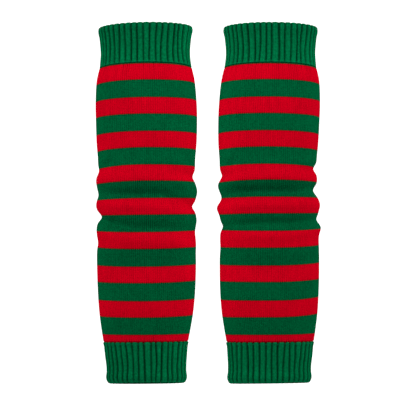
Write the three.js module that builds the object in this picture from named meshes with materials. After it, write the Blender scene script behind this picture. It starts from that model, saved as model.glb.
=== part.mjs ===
// A pair of knitted leg warmers, filled out as if worn: two striped tubes, each with a
// ribbed welt at the calf and at the ankle. Every piece is a hollow wall, open at both ends.
// Millimetres, +Z up, +X to the viewer's right, and the front faces -Y.

import * as THREE from "three";

// Driving sizes
const LENGTH = 391.6; // lower rim to upper rim, at the side
const GRIP_HEIGHT = 364; // narrowest ring of the calf welts, where the legs hold the pair
const LOW_SEAM = 46; // where the ankle welt meets the leg tube
const TOP_SEAM = 346.6; // where the leg tube meets the calf welt
const SEAM_GAP = 0.3;
const LEG_WALL = 1.8;
const WELT_WALL = 3.2; // rib knit folded double
const RIB_DEPTH = 1.3;
const RIB_HALF_CREST = 0.3; // share of the rib pitch on each side of the rib's middle
const CALF_RIBS = 42;
const ANKLE_RIBS = 38;
const STEPS_PER_RIB = 10; // a rib's corners stand on tenths of its pitch
const RIBS_PER_INNER_POINT = 2;
const STRIPE_COUNT = 16.5; // the last red one above the ankle is half as tall
const LEG_POINTS = 36; // round the leg tube's outer skin
const LEG_POINTS_PER_INNER_POINT = 2;
const PLAIN_ROWS = 1; // rows of faces in a stripe of the smooth knit
const FOLDED_ROWS = 4; // and in a stripe of the bunched knit
const FOLDED_ZONE = [150, 242];

const GREEN = 0x00613a;
const RED = 0xc8001c;

// The tube's form, shared by both warmers, by height above the lower rim. fromMiddle is the
// distance of the tube's axis from the middle of the pair, back is its set towards +Y, and lift
// is how much higher than its sides a ring of the tube lies at the front.
const FORM = [
  { height: 0, halfWidth: 44.9, depthShare: 0.72, fromMiddle: 67.5, back: 0, lift: 5.3 },
  { height: 18, halfWidth: 44.7, depthShare: 0.72, fromMiddle: 67.7, back: 0, lift: 4.6 },
  { height: 30, halfWidth: 45.7, depthShare: 0.73, fromMiddle: 68.1, back: 0, lift: 4.1 },
  { height: 46, halfWidth: 47.2, depthShare: 0.74, fromMiddle: 68.3, back: 0.5, lift: 3.4 },
  { height: 60, halfWidth: 49.5, depthShare: 0.75, fromMiddle: 68.1, back: 1, lift: 2.9 },
  { height: 80, halfWidth: 52.3, depthShare: 0.77, fromMiddle: 67.8, back: 1.5, lift: 2 },
  { height: 105, halfWidth: 54, depthShare: 0.79, fromMiddle: 67.6, back: 2, lift: 1 },
  { height: 135, halfWidth: 54.7, depthShare: 0.8, fromMiddle: 67.7, back: 3, lift: 0.2 },
  { height: 160, halfWidth: 54.3, depthShare: 0.81, fromMiddle: 67.8, back: 4, lift: 0 },
  { height: 215, halfWidth: 53.9, depthShare: 0.815, fromMiddle: 67.2, back: 5.2, lift: 0.5 },
  { height: 245, halfWidth: 53.7, depthShare: 0.82, fromMiddle: 66.8, back: 6, lift: 1.2 },
  { height: 264, halfWidth: 55.2, depthShare: 0.82, fromMiddle: 66.9, back: 6, lift: 1.6 },
  { height: 290, halfWidth: 55.9, depthShare: 0.82, fromMiddle: 67.4, back: 6, lift: 1.6 },
  { height: 308, halfWidth: 55.8, depthShare: 0.81, fromMiddle: 68, back: 5.5, lift: 1.6 },
  { height: 333, halfWidth: 54, depthShare: 0.79, fromMiddle: 68.7, back: 4.5, lift: 1.8 },
  { height: 346.6, halfWidth: 51, depthShare: 0.78, fromMiddle: 68.8, back: 4, lift: 1.8 },
  { height: 355, halfWidth: 49.8, depthShare: 0.78, fromMiddle: 69, back: 3.5, lift: 1.2 },
  { height: 364, halfWidth: 49.3, depthShare: 0.78, fromMiddle: 69, back: 3, lift: 0.7 },
  { height: 375, halfWidth: 50.1, depthShare: 0.78, fromMiddle: 69, back: 3, lift: 0.3 },
  { height: 386, halfWidth: 51.5, depthShare: 0.78, fromMiddle: 68.9, back: 3, lift: 0 },
  { height: 391.6, halfWidth: 51.9, depthShare: 0.78, fromMiddle: 68.9, back: 3, lift: 0 },
];

// The folds of the bunched knit, given at the left, front, right and back of a tube: how high
// the fold runs, how far it stands out (+) or is drawn in (-), and its half height, where it has
// all but faded.
const LEFT_FOLDS = [
  { name: "first crease", height: [234, 231, 226.3, 230], reach: [-1.4, -0.5, -2.8, -2], spread: [5, 5, 5, 5] },
  { name: "first roll", height: [223.5, 227, 210, 219], reach: [1.8, 1.2, 2.3, 1.6], spread: [7.5, 7.5, 7.5, 7.5] },
  { name: "second crease", height: [207.6, 207, 193.3, 203], reach: [-1.2, -3.4, -3.5, -3], spread: [4.6, 6.8, 4.6, 5.5] },
  { name: "second roll", height: [196.2, 196, 178.5, 190], reach: [1.4, 1.6, 1.4, 1.8], spread: [7, 7, 7, 7] },
  { name: "third crease", height: [183.6, 171.5, 165.5, 178], reach: [-5, -2.8, -0.5, -2.6], spread: [5.3, 7.5, 5.3, 6] },
  { name: "third roll", height: [169, 160, 152, 164], reach: [0.7, 1, 0.4, 1.2], spread: [7, 7, 7, 7] },
  { name: "last crease", height: [154.8, 147, 142, 150], reach: [-1.1, -0.8, -0.2, -0.8], spread: [6, 6, 6, 6] },
];
const RIGHT_FOLDS = [
  { name: "first crease", height: [228, 233, 235.5, 230], reach: [-2.5, -0.4, -3.9, -2], spread: [5, 5, 5, 5] },
  { name: "first roll", height: [217, 228, 225, 220], reach: [2, 1.3, 0.1, 1.4], spread: [6.5, 6.5, 6.5, 6.5] },
  { name: "second crease", height: [203.2, 209.5, 212, 206], reach: [-2, -3.8, -4.8, -3.2], spread: [6, 6.5, 6, 6] },
  { name: "second roll", height: [192.6, 196.5, 196, 193], reach: [3.6, 2.4, 2.4, 2.4], spread: [7, 7, 7, 7] },
  { name: "third crease", height: [172.4, 175, 179.3, 176], reach: [-2.9, -3.2, -2.7, -2.6], spread: [5, 7, 5, 6] },
  { name: "third roll", height: [159, 166, 171.5, 164], reach: [0.2, 1.2, 2.8, 1.2], spread: [7, 7, 7, 7] },
  { name: "last crease", height: [148, 152, 157.5, 152], reach: [-0.4, -0.7, 0, -0.6], spread: [6, 6, 6, 6] },
];

const FOLD_EDGE = 4;

// The two warmers, named as the viewer sees them. ankleEase widens the lower half of a tube,
// bow sets its middle away from the other tube, and the leans are how much its right side
// stands above its left, at the lower and upper rim.
const WARMERS = [
  { name: "left", side: -1, folds: LEFT_FOLDS, ankleEase: -0.8, bow: 1, lowLean: 0.4, topLean: 1.1 },
  { name: "right", side: 1, folds: RIGHT_FOLDS, ankleEase: 1.3, bow: -0.4, lowLean: 0.5, topLean: -0.3 },
];
const EASE_FADES_AT = 150;
const BOW_HEIGHT = 240;
const BOW_SPREAD = 60;

// Rows of the welts. run is the distance from the seam as a share of the welt's height, inset
// draws the rim in to a rounded edge, and rib is the share of the full rib depth.
const CALF_ROWS = [
  { run: 0, inset: 0, rib: 0.15 },
  { run: 0.1, inset: 0, rib: 0.9 },
  { run: 0.45, inset: 0, rib: 1 },
  { run: 0.8, inset: 0, rib: 1 },
  { run: 0.88, inset: -0.4, rib: 1 },
  { run: 0.96, inset: 0.5, rib: 0.9 },
  { run: 1, inset: 2.6, rib: 0.4 },
];
const ANKLE_ROWS = [
  { run: 0, inset: 0.5, rib: 0.3 },
  { run: 0.07, inset: -0.2, rib: 0.6 },
  { run: 0.14, inset: 0, rib: 1 },
  { run: 0.55, inset: 0, rib: 1 },
  { run: 0.78, inset: 0, rib: 1 },
  { run: 0.87, inset: -0.4, rib: 1 },
  { run: 0.95, inset: 0.7, rib: 0.9 },
  { run: 1, inset: 3.1, rib: 0.4 },
];
// The welt's plain inner skin, which curls in at the rim.
const RIM_CURL = 1.6;
const INNER_ROWS = [
  { run: 0, inset: WELT_WALL },
  { run: 0.5, inset: WELT_WALL },
  { run: 0.92, inset: WELT_WALL },
  { run: 1, inset: WELT_WALL + RIM_CURL },
];

// One column of FORM at any height: a cubic through the table's rows.
function formAt(column, height) {
  const last = FORM.length - 1;
  let row = FORM.findIndex((entry) => entry.height >= height);
  if (row < 0) row = last;
  if (row === 0) row = 1;
  const slope = (index) => {
    const below = FORM[Math.max(index - 1, 0)];
    const above = FORM[Math.min(index + 1, last)];
    return (above[column] - below[column]) / (above.height - below.height);
  };
  const start = FORM[row - 1];
  const end = FORM[row];
  const span = end.height - start.height;
  const t = THREE.MathUtils.clamp((height - start.height) / span, 0, 1);
  const rest = 1 - t;
  return (
    start[column] * rest * rest * (1 + 2 * t) +
    end[column] * t * t * (1 + 2 * rest) +
    span * t * rest * (slope(row - 1) * rest - slope(row) * t)
  );
}

// A value given at the left, front, right and back, at any angle round the tube. The angle is
// 0 at the front and a quarter turn at the right. The larger edge is, the closer the side
// values keep to the sides.
function roundTube([left, front, right, back], angle, edge = 2) {
  const across = Math.sin(angle);
  const share = Math.abs(across) ** edge;
  return (across > 0 ? right : left) * share + (Math.cos(angle) > 0 ? front : back) * (1 - share);
}

function foldReach(folds, height, angle) {
  return folds.reduce((sum, fold) => {
    const off = (height - roundTube(fold.height, angle)) / roundTube(fold.spread, angle);
    return sum + roundTube(fold.reach, angle, FOLD_EDGE) * Math.exp(-off * off);
  }, 0);
}

// A point on a warmer's outer form, or set in from it, in the frame of the pair.
function formPoint(warmer, height, angle, inset) {
  const ease = warmer.ankleEase * Math.max(0, 1 - height / EASE_FADES_AT);
  const halfWidth = formAt("halfWidth", height) + ease;
  const halfDepth = halfWidth * formAt("depthShare", height);
  const across = Math.sin(angle);
  const along = Math.cos(angle);
  const normal = new THREE.Vector2(across / halfWidth, -along / halfDepth).normalize();
  const reach = foldReach(warmer.folds, height, angle) - inset;
  const lift = formAt("lift", height);
  const lean = THREE.MathUtils.lerp(warmer.lowLean, warmer.topLean, height / LENGTH);
  const bow = warmer.bow * Math.exp(-(((height - BOW_HEIGHT) / BOW_SPREAD) ** 2));
  const fromMiddle = formAt("fromMiddle", height) + bow;
  return new THREE.Vector3(
    warmer.side * fromMiddle + halfWidth * across + normal.x * reach,
    formAt("back", height) - halfDepth * along + normal.y * reach,
    height + lift * along + lean * across - GRIP_HEIGHT,
  );
}

// Angles that part an oval into equal lengths of cloth, from the front and anticlockwise.
function evenAngles(count, depthShare) {
  const steps = 1440;
  const lengths = [0];
  for (let step = 1; step <= steps; step++) {
    const angle = ((step - 0.5) / steps) * 2 * Math.PI;
    lengths.push(lengths[step - 1] + Math.hypot(Math.cos(angle), depthShare * Math.sin(angle)));
  }
  const angles = [];
  let step = 1;
  for (let index = 0; index < count; index++) {
    const wanted = (index / count) * lengths[steps];
    while (lengths[step] < wanted) step++;
    const part = (wanted - lengths[step - 1]) / (lengths[step] - lengths[step - 1]);
    angles.push(((step - 1 + part) / steps) * 2 * Math.PI);
  }
  return angles;
}

// A closed wall between an outer and an inner skin. Each skin is a list of rings from the
// bottom up, each ring a list of points anticlockwise from above, and an outer ring has a
// whole number of times the inner ring's points.
function wallGeometry(outer, inner) {
  const rings = [...outer, ...inner];
  const firstOf = [];
  let total = 0;
  for (const ring of rings) {
    firstOf.push(total);
    total += ring.length;
  }
  const vertex = (ring, index) => firstOf[ring] + (index % rings[ring].length);
  const faces = [];
  const skin = (firstRing, lastRing, facesOut) => {
    for (let ring = firstRing; ring < lastRing; ring++) {
      for (let index = 0; index < rings[ring].length; index++) {
        const corners = [
          vertex(ring, index),
          vertex(ring, index + 1),
          vertex(ring + 1, index + 1),
          vertex(ring + 1, index),
        ];
        if (!facesOut) corners.reverse();
        const [a, b, c, d] = corners;
        faces.push(a, b, c, a, c, d);
      }
    }
  };
  const rim = (outerRing, innerRing, facesUp) => {
    const share = rings[outerRing].length / rings[innerRing].length;
    const add = (a, b, c) => (facesUp ? faces.push(a, b, c) : faces.push(a, c, b));
    for (let index = 0; index < rings[innerRing].length; index++) {
      for (let step = 0; step < share; step++) {
        const nearest = step < share / 2 ? index : index + 1;
        const from = index * share + step;
        add(vertex(outerRing, from), vertex(outerRing, from + 1), vertex(innerRing, nearest));
      }
      const turn = vertex(outerRing, index * share + Math.ceil(share / 2));
      add(turn, vertex(innerRing, index + 1), vertex(innerRing, index));
    }
  };
  const lastOuter = outer.length - 1;
  const lastInner = rings.length - 1;
  skin(0, lastOuter, true);
  skin(outer.length, lastInner, false);
  rim(0, outer.length, false);
  rim(lastOuter, lastInner, true);
  const geometry = new THREE.BufferGeometry();
  const flat = rings.flat().flatMap((point) => point.toArray());
  geometry.setAttribute("position", new THREE.Float32BufferAttribute(flat, 3));
  geometry.setIndex(faces);
  geometry.computeVertexNormals();
  return geometry;
}

// A ribbed welt. seam and rim are its heights, and the rows run from one to the other.
function weltGeometry(warmer, seam, rim, rows, ribCount, depthShare) {
  const innerCount = ribCount / RIBS_PER_INNER_POINT;
  const innerAngles = evenAngles(innerCount, depthShare);
  const outerAngles = [];
  const grooves = [];
  const fine = evenAngles(ribCount * STEPS_PER_RIB, depthShare);
  for (let rib = 0; rib < ribCount; rib++) {
    for (const place of [0, 0.5 - RIB_HALF_CREST, 0.5 + RIB_HALF_CREST]) {
      outerAngles.push(fine[Math.round((rib + place) * STEPS_PER_RIB)]);
      grooves.push(place === 0 ? 1 : 0);
    }
  }
  const heightAt = (run) => THREE.MathUtils.lerp(seam, rim, run);
  const outer = rows.map((row) =>
    outerAngles.map((angle, index) => {
      const inset = row.inset + RIB_DEPTH * row.rib * grooves[index];
      return formPoint(warmer, heightAt(row.run), angle, inset);
    }),
  );
  const inner = INNER_ROWS.map((row) =>
    innerAngles.map((angle) => formPoint(warmer, heightAt(row.run), angle, row.inset)),
  );
  return seam < rim ? wallGeometry(outer, inner) : wallGeometry(outer.reverse(), inner.reverse());
}

// Heights of the leg tube's rings. They stand on the stripes' edges, and closer in the folds.
function legHeights() {
  const pitch = (TOP_SEAM - LOW_SEAM) / STRIPE_COUNT;
  const heights = [];
  const edges = [LOW_SEAM, LOW_SEAM + pitch / 2];
  while (edges.at(-1) + pitch < TOP_SEAM + 1) edges.push(edges.at(-1) + pitch);
  for (let index = 1; index < edges.length; index++) {
    const middle = (edges[index - 1] + edges[index]) / 2;
    const folded = middle > FOLDED_ZONE[0] && middle < FOLDED_ZONE[1];
    const rows = folded ? FOLDED_ROWS : PLAIN_ROWS;
    for (let row = 0; row < rows; row++) {
      heights.push(THREE.MathUtils.lerp(edges[index - 1], edges[index], row / rows));
    }
  }
  heights.push(TOP_SEAM);
  heights[0] += SEAM_GAP / 2;
  heights[heights.length - 1] -= SEAM_GAP / 2;
  return heights;
}

function legGeometry(warmer) {
  const heights = legHeights();
  const share = formAt("depthShare", (LOW_SEAM + TOP_SEAM) / 2);
  const skin = (count, inset) => {
    const angles = evenAngles(count, share);
    return heights.map((height) => angles.map((angle) => formPoint(warmer, height, angle, inset)));
  };
  return wallGeometry(skin(LEG_POINTS, 0), skin(LEG_POINTS / LEG_POINTS_PER_INNER_POINT, LEG_WALL));
}

function knit(colour) {
  return new THREE.MeshStandardMaterial({ color: colour, roughness: 0.9, metalness: 0 });
}

function namedMesh(name, geometry, colour) {
  const mesh = new THREE.Mesh(geometry, knit(colour));
  mesh.name = name;
  return mesh;
}

function makeWarmer(warmer) {
  const calfShare = formAt("depthShare", GRIP_HEIGHT);
  const ankleShare = formAt("depthShare", LOW_SEAM / 2);
  const calfSeam = TOP_SEAM + SEAM_GAP / 2;
  const ankleSeam = LOW_SEAM - SEAM_GAP / 2;
  const calf = weltGeometry(warmer, calfSeam, LENGTH, CALF_ROWS, CALF_RIBS, calfShare);
  const ankle = weltGeometry(warmer, ankleSeam, 0, ANKLE_ROWS, ANKLE_RIBS, ankleShare);
  const group = new THREE.Group();
  group.add(
    namedMesh(`${warmer.name}_calf_welt`, calf, GREEN),
    namedMesh(`${warmer.name}_leg_tube`, legGeometry(warmer), RED),
    namedMesh(`${warmer.name}_ankle_welt`, ankle, GREEN),
  );
  return group;
}

const pair = new THREE.Group();
for (const warmer of WARMERS) pair.add(makeWarmer(warmer));

export default pair;
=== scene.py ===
"""A pair of knitted leg warmers, filled out as if worn, in red and green hoops.

Each warmer is three knitted pieces: a ribbed welt at the calf, a striped leg tube and a ribbed
welt at the ankle. Sizes in the tables are millimetres, and the scene is in metres, +Z up, with
the front facing -Y.
"""

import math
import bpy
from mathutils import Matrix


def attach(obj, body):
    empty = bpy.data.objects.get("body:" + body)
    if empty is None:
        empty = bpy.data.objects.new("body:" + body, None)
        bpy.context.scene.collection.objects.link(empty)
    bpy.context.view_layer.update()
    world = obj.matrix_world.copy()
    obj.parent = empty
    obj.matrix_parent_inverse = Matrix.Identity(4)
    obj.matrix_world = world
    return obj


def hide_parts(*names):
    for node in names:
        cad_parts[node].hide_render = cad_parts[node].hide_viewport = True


bl_info = {
    "name": "Knitted Leg Warmers",
    "version": (1, 0, 0),
    "blender": (4, 5, 0),
    "location": "View3D > Sidebar > Knitwear",
    "description": "Makes a pair of hooped leg warmers with ribbed welts, hollow as if worn",
    "category": "Add Mesh",
}

import bpy
import numpy as np
from mathutils import Vector

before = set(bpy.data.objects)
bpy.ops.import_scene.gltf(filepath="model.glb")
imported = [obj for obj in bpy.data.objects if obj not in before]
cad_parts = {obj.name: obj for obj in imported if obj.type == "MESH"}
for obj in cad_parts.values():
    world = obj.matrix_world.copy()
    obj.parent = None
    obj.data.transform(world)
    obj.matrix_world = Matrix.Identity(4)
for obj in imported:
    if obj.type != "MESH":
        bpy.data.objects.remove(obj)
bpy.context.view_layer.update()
MM = 0.001


def table(columns, *rows):
    """Rows of numbers under named columns."""
    return [dict(zip(columns.split(), row)) for row in rows]


# Heights are above the lower rim, at the side of a tube.
LENGTH = 391.6
GRIP_HEIGHT = 364.0
LOW_SEAM = 46.0
TOP_SEAM = 346.6
STRIPE_COUNT = 16.5
EASE_FADES_AT = 150.0
BOW_HEIGHT = 240.0
BOW_SPREAD = 60.0

# The tube's form by height. from_middle is the distance of its axis from the middle of the pair,
# and lift is how much higher than its sides a ring of the tube lies at the front.
FORM = table(
    "height half_width depth_share from_middle back lift",
    (0, 44.9, 0.72, 67.5, 0, 5.3),
    (18, 44.7, 0.72, 67.7, 0, 4.6),
    (30, 45.7, 0.73, 68.1, 0, 4.1),
    (46, 47.2, 0.74, 68.3, 0.5, 3.4),
    (60, 49.5, 0.75, 68.1, 1, 2.9),
    (80, 52.3, 0.77, 67.8, 1.5, 2),
    (105, 54, 0.79, 67.6, 2, 1),
    (135, 54.7, 0.8, 67.7, 3, 0.2),
    (160, 54.3, 0.81, 67.8, 4, 0),
    (215, 53.9, 0.815, 67.2, 5.2, 0.5),
    (245, 53.7, 0.82, 66.8, 6, 1.2),
    (264, 55.2, 0.82, 66.9, 6, 1.6),
    (290, 55.9, 0.82, 67.4, 6, 1.6),
    (308, 55.8, 0.81, 68, 5.5, 1.6),
    (333, 54, 0.79, 68.7, 4.5, 1.8),
    (346.6, 51, 0.78, 68.8, 4, 1.8),
    (355, 49.8, 0.78, 69, 3.5, 1.2),
    (364, 49.3, 0.78, 69, 3, 0.7),
    (375, 50.1, 0.78, 69, 3, 0.3),
    (386, 51.5, 0.78, 68.9, 3, 0),
    (391.6, 51.9, 0.78, 68.9, 3, 0),
)

# The folds of the bunched knit, each with its height, its reach and its half height at the left,
# front, right and back of a tube.
LEFT_FOLDS = table(
    "heights reaches spreads",
    ((234, 231, 226.3, 230), (-1.4, -0.5, -2.8, -2), (5, 5, 5, 5)),
    ((223.5, 227, 210, 219), (1.8, 1.2, 2.3, 1.6), (7.5, 7.5, 7.5, 7.5)),
    ((207.6, 207, 193.3, 203), (-1.2, -3.4, -3.5, -3), (4.6, 6.8, 4.6, 5.5)),
    ((196.2, 196, 178.5, 190), (1.4, 1.6, 1.4, 1.8), (7, 7, 7, 7)),
    ((183.6, 171.5, 165.5, 178), (-5, -2.8, -0.5, -2.6), (5.3, 7.5, 5.3, 6)),
    ((169, 160, 152, 164), (0.7, 1, 0.4, 1.2), (7, 7, 7, 7)),
    ((154.8, 147, 142, 150), (-1.1, -0.8, -0.2, -0.8), (6, 6, 6, 6)),
)
RIGHT_FOLDS = table(
    "heights reaches spreads",
    ((228, 233, 235.5, 230), (-2.5, -0.4, -3.9, -2), (5, 5, 5, 5)),
    ((217, 228, 225, 220), (2, 1.3, 0.1, 1.4), (6.5, 6.5, 6.5, 6.5)),
    ((203.2, 209.5, 212, 206), (-2, -3.8, -4.8, -3.2), (6, 6.5, 6, 6)),
    ((192.6, 196.5, 196, 193), (3.6, 2.4, 2.4, 2.4), (7, 7, 7, 7)),
    ((172.4, 175, 179.3, 176), (-2.9, -3.2, -2.7, -2.6), (5, 7, 5, 6)),
    ((159, 166, 171.5, 164), (0.2, 1.2, 2.8, 1.2), (7, 7, 7, 7)),
    ((148, 152, 157.5, 152), (-0.4, -0.7, 0, -0.6), (6, 6, 6, 6)),
)

FOLD_EDGE = 4
# The radius at which a dent's length round a tube is measured.
DENT_RADIUS = 48.0

# Small dents and puffs of the cloth between the folds. angle is in degrees from the front, to
# the right; length and width are half sizes, and tilt turns the dent up at its right.
LEFT_DENTS = table(
    "angle height reach length width tilt",
    (-50, 240, -2.1, 8, 4.5, 8),
    (-58, 214, -1.1, 7, 4, 0),
    (-48, 204, 0.9, 8, 4, 0),
    (-46, 174.5, -1.8, 8, 5, 0),
    (46, 210, -1.8, 10, 6, -6),
    (34, 205, 0.7, 8, 4, 0),
    (-10, 204.5, -0.9, 18, 4.5, 0),
    (-2, 167.5, -0.9, 20, 4.5, 0),
    (52, 248, -0.9, 8, 5, -12),
    (-50, 229, 0.5, 8, 5, 8),
    (8, 236, -0.4, 14, 4, 2),
    (-12, 226, -0.4, 5, 9, 12),
    (58, 222, 0.6, 8, 5, -10),
    (-35, 184, -0.6, 6, 4, 30),
    (-18, 187, -0.5, 7, 4, -16),
    (32, 190, -0.5, 7, 4, 14),
    (170, 240, -0.8, 12, 5, 8),
    (205, 215, -0.7, 10, 4, -14),
    (150, 196, -0.6, 9, 4, 12),
    (188, 168, 0.5, 12, 6, 4),
)
RIGHT_DENTS = table(
    "angle height reach length width tilt",
    (-54, 240, -1.9, 8, 4.5, 10),
    (48, 249, -0.9, 8, 5, -10),
    (-36, 212, -1.5, 14, 4.2, -2),
    (32, 212, 0.9, 9, 4.5, 0),
    (-45, 203, 0.8, 10, 4, 0),
    (-52, 172, 0.9, 8, 5, 0),
    (54, 208, 3.2, 9, 6, 0),
    (-56, 209, -1, 8, 4.5, 0),
    (-28, 190, -0.5, 8, 4, 12),
    (14, 188, -0.4, 9, 4, -8),
    (44, 168, 0.5, 8, 5, -6),
    (176, 242, -0.8, 11, 5, -8),
    (150, 214, -0.7, 10, 4, 12),
    (212, 197, -0.6, 9, 4, -12),
    (182, 166, 0.5, 12, 6, 2),
)

# How far the hoops of the bunched knit stand above their even places, at the left, front and
# right of a tube.
LEFT_HOOPS = table(
    "height left front right",
    (46, 0, 0, 0),
    (58, 0.4, 0.1, 0.9),
    (76, 1.4, 0.9, 2.3),
    (94, 1.9, 1.7, 2.6),
    (113, 3, 3, 3.9),
    (148, 4.1, 3.5, 4.1),
    (167, 4.6, 3.8, 4.5),
    (185, 2.9, 3.4, 3.7),
    (203, 1.5, 3.5, 3.3),
    (221, 0.4, 2.8, 2.3),
    (240, -0.9, 2, 1.6),
    (258, -0.5, 1, 1.2),
    (293, 0, 0.2, 1.2),
    (330, -0.3, 0.1, 1.2),
    (346.6, 0, 0, 0),
)
RIGHT_HOOPS = table(
    "height left front right",
    (46, 0, 0, 0),
    (58, -0.4, 0.4, 1.8),
    (76, 0.5, 1.4, 4.2),
    (94, 1.7, 2.5, 5.2),
    (113, 3.3, 4.2, 6.2),
    (148, 3.8, 4.8, 6.6),
    (167, 5.1, 5.2, 7.2),
    (185, 3.3, 4.9, 5.6),
    (203, 3.4, 4.9, 4.6),
    (221, 1.5, 4.1, 2.6),
    (240, 1.4, 2.7, 1),
    (258, 1.1, 1.8, 1.2),
    (293, 1.4, 0.9, 1.1),
    (330, 1.3, 0.5, 0.7),
    (346.6, 0, 0, 0),
)

# The two warmers, named as the viewer sees them.
WARMERS = [
    {
        "name": "left",
        "side": -1,
        "folds": LEFT_FOLDS,
        "dents": LEFT_DENTS,
        "hoops": LEFT_HOOPS,
        "ankle_ease": -0.8,
        "bow": 1.0,
        "low_lean": 0.4,
        "top_lean": 1.1,
        "seed": 3,
    },
    {
        "name": "right",
        "side": 1,
        "folds": RIGHT_FOLDS,
        "dents": RIGHT_DENTS,
        "hoops": RIGHT_HOOPS,
        "ankle_ease": 1.3,
        "bow": -0.4,
        "low_lean": 0.5,
        "top_lean": -0.3,
        "seed": 8,
    },
]

# Rows of a welt near its seam, by distance from it: how far the skin is set in, how much of the
# ribs' full depth shows, how far the row sinks back between the ribs, and how dark the painted
# shade in the crevice of the seam lies on it.
CALF_SEAM_ROWS = table(
    "run inset rib dip dark",
    (0, 1.3, 0.1, 0.3, 1),
    (0.3, 0.6, 0.3, 0.3, 0.7),
    (0.7, 0.15, 0.42, 0.2, 0.25),
    (1.1, 0.05, 0.45, 0, 0),
    (1.6, 0.1, 0.5, 0, 0.03),
    (2.1, 0.15, 0.65, 0, 0.05),
    (2.8, 0.05, 0.85, 0, 0),
    (3.8, 0, 0.95, 0, 0),
    (5.2, 0, 1, 0, 0),
)
ANKLE_SEAM_ROWS = table(
    "run inset rib dip dark",
    (0, 1.6, 0.3, 0.9, 0.9),
    (0.25, 0.7, 0.8, 0.8, 0.4),
    (0.6, 0.05, 1, 0.6, 0),
    (1, -0.35, 1.1, 0.4, 0),
    (1.5, -0.5, 1.05, 0.2, 0),
    (2, -0.45, 0.8, 0, 0),
    (2.5, -0.35, 0.5, 0, 0),
    (2.9, -0.3, 0.6, 0, 0),
    (3.4, -0.25, 0.9, 0, 0),
    (4.2, -0.15, 1, 0, 0),
    (5.4, 0, 1, 0, 0),
)
# Rows of a welt near its turned rim, by distance from it. They swell a little, then round off,
# with a thin line of painted shade below the rim.
CALF_RIM_ROWS = table(
    "run inset rib dip dark",
    (10, 0, 1, 0, 0),
    (8, -0.3, 1, 0, 0),
    (6, -0.5, 1, 0, 0),
    (4.2, -0.5, 1, 0, 0),
    (3.2, -0.4, 0.97, 0, 0),
    (2.6, -0.2, 0.92, 0.1, 0.05),
    (2.2, 0.1, 0.85, 0.2, 0.25),
    (1.8, -0.1, 0.85, 0.3, 0.05),
    (1.3, 0, 0.75, 0.45, 0),
    (0.8, 0.3, 0.6, 0.6, 0),
    (0.4, 0.75, 0.5, 0.75, 0),
    (0.12, 1.3, 0.4, 0.9, 0),
    (0, 1.9, 0.3, 0.9, 0),
)
ANKLE_RIM_ROWS = table(
    "run inset rib dip dark",
    (13, 0, 1, 0, 0),
    (10.5, -0.3, 1, 0, 0),
    (8, -0.6, 1, 0, 0),
    (6, -0.5, 1, 0, 0),
    (4.6, -0.2, 1, 0, 0),
    (3.6, 0.1, 0.97, 0, 0),
    (2.8, 0.55, 0.9, 0.1, 0),
    (2.3, 0.9, 0.75, 0.2, 0.1),
    (1.8, 1.05, 0.65, 0.3, 0),
    (1.2, 1.4, 0.6, 0.4, 0),
    (0.7, 2, 0.5, 0.5, 0),
    (0.25, 2.9, 0.45, 0.6, 0),
    (0, 3.8, 0.35, 0.6, 0),
)

# A rib's points across its pitch, from groove to groove. Two of its three wales are on the crest.
RIB_PLACES = (0, 0.05, 0.1, 0.15, 0.2, 0.27, 0.36, 0.44, 0.5, 0.56, 0.64, 0.73, 0.8, 0.85, 0.9, 0.95)
RIB_WALES = 3
CREST_EDGE = 0.17
CREASE_DEPTH = 0.16
RIB_SHARPNESS = 3.2
# How much painted shade darkens a welt low and high on it, and on its left side.
CALF_SHADES = (0.0, 0.2)
ANKLE_SHADES = (0.21, 0.21)
WELT_SIDE_SHADE = 0.14
# The least share of its painted shade that a rib's groove may get.
GROOVE_LEAST = 0.68

# A leg's points across a wale, and how deep in the furrow beside it each one lies.
WALE_PLACES = (0, 0.14, 0.36, 0.64, 0.86)
FURROW_SHAPE = (1, 0.4, 0, 0, 0.4)

# Rows of the leg near a welt, by distance from the seam: below 0 it runs on under the welt, where
# it lies in painted shade.
TUCK_ROWS = table(
    "run inset dark",
    (-1.2, 1.5, 1),
    (-0.3, 1, 1),
    (0.4, 0.35, 0.6),
    (1, 0.1, 0.15),
    (1.6, 0, 0),
)
GATHER_FADE = 5.5
PLEAT_DEPTH = 0.35
DEEPEST_FOLD = 4.0
STEEPEST_FOLD = 0.7
FOLD_STEP = 2.0
# The hoop right under the bunched knit lies in its shadow, painted into the colour.
UNDER_FOLDS_HEIGHT = 140.0
UNDER_FOLDS_SPREAD = 10.0
UNDER_FOLDS_SHADE = 0.24
# How dark the painted shade of the lines between the wales is in the bunched knit, in red and
# in green.
BUNCHED_LINES = (0.1, 0.34)
# Part of the light and dark of the folds is painted into the colour. In red and in green, these
# say how strong the painted shade is in the creases and on the sides that face up, how much the
# clumps of fibre vary the yarn, and how dark the painted shade is in the furrows between the wales.
CREASE_SHADES = (0.08, 0.45)
UPPER_SHADES = (2.2, 0.75)
GRAINS = (0.12, 0.85)
FURROW_SHADES = (0.42, 0.82)
# Above this, the wave of the hoops is green.
GREEN_FROM = -0.05

# Spacing of a leg's rows, in the bunched knit and in the rest, outside and inside.
OUTER_LEG_STEPS = (1.9, 3.9)
INNER_LEG_STEPS = (3.0, 6.0)
BUNCHED_LOW = 146.0
BUNCHED_TOP = 246.0
TUCK_HEIGHT = 3
INNER_TUCK = 0.4
# The leg's cloth is this much longer than its height, for what the folds take up.
FOLD_TAKE_UP = 1.03
FLAT_HEIGHT = 250

WELT_STEP = 0.95
INNER_WELT_ROWS = 22
INNER_RIB_DEPTH = -0.35
CALF_SEED = 20
ANKLE_SEED = 40

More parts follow.
